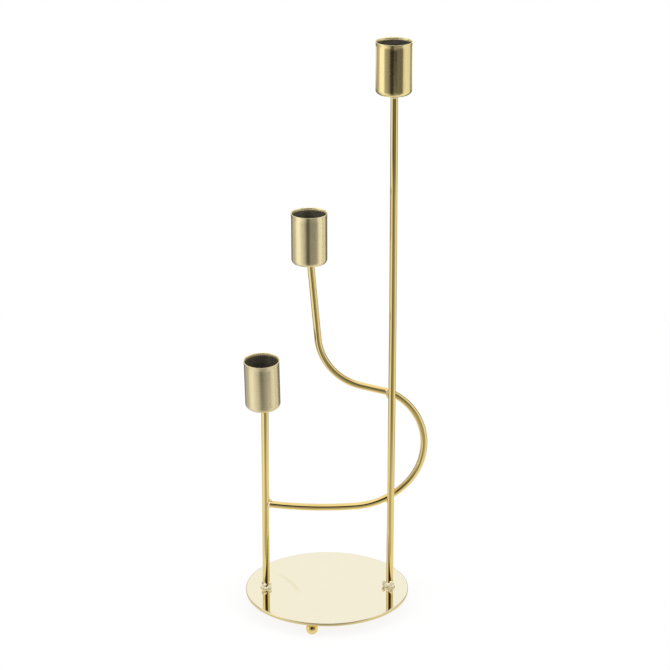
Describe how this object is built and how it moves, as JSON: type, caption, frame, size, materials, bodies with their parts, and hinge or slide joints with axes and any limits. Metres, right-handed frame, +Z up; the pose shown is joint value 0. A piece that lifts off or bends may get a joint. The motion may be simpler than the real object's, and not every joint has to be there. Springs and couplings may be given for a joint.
{
  "type": "three-arm candelabra",
  "caption": "Wire candelabra of brass-plated steel: a round foot plate carries rods and one looped wire, each ending in a candle cup.",
  "frame": {"origin": "middle of the round plate, on the table plane that the three ball feet stand on", "axes": "+Z up along the rods, +X from the short rod to the tall rod, +Y away from the front foot"},
  "size_m": [0.1335, 0.12, 0.4226],
  "materials": {
    "plate_brass": "mirror polished plating",
    "rod_brass": "mirror polished plating",
    "cup_brass": "mirror polished plating",
    "foot_brass": "mirror polished plating",
    "weld_brass": "mirror polished plating over the weld"
  },
  "bodies": {
    "root": {"base_plate": "plate_brass", "cup_middle": "cup_brass", "cup_short": "cup_brass", "cup_tall": "cup_brass", "curved_arm": "rod_brass", "foot_back_left": "foot_brass", "foot_back_right": "foot_brass", "foot_front": "foot_brass", "short_rod": "rod_brass", "tall_rod": "rod_brass", "weld_arm_to_short_rod": "weld_brass", "weld_crossing_lower": "weld_brass", "weld_crossing_upper": "weld_brass", "weld_cup_middle": "weld_brass", "weld_cup_short": "weld_brass", "weld_cup_tall": "weld_brass", "weld_foot_back_left": "weld_brass", "weld_foot_back_right": "weld_brass", "weld_foot_front": "weld_brass", "weld_short_rod_base": "weld_brass", "weld_tall_rod_base": "weld_brass"}
  },
  "joints": []
}
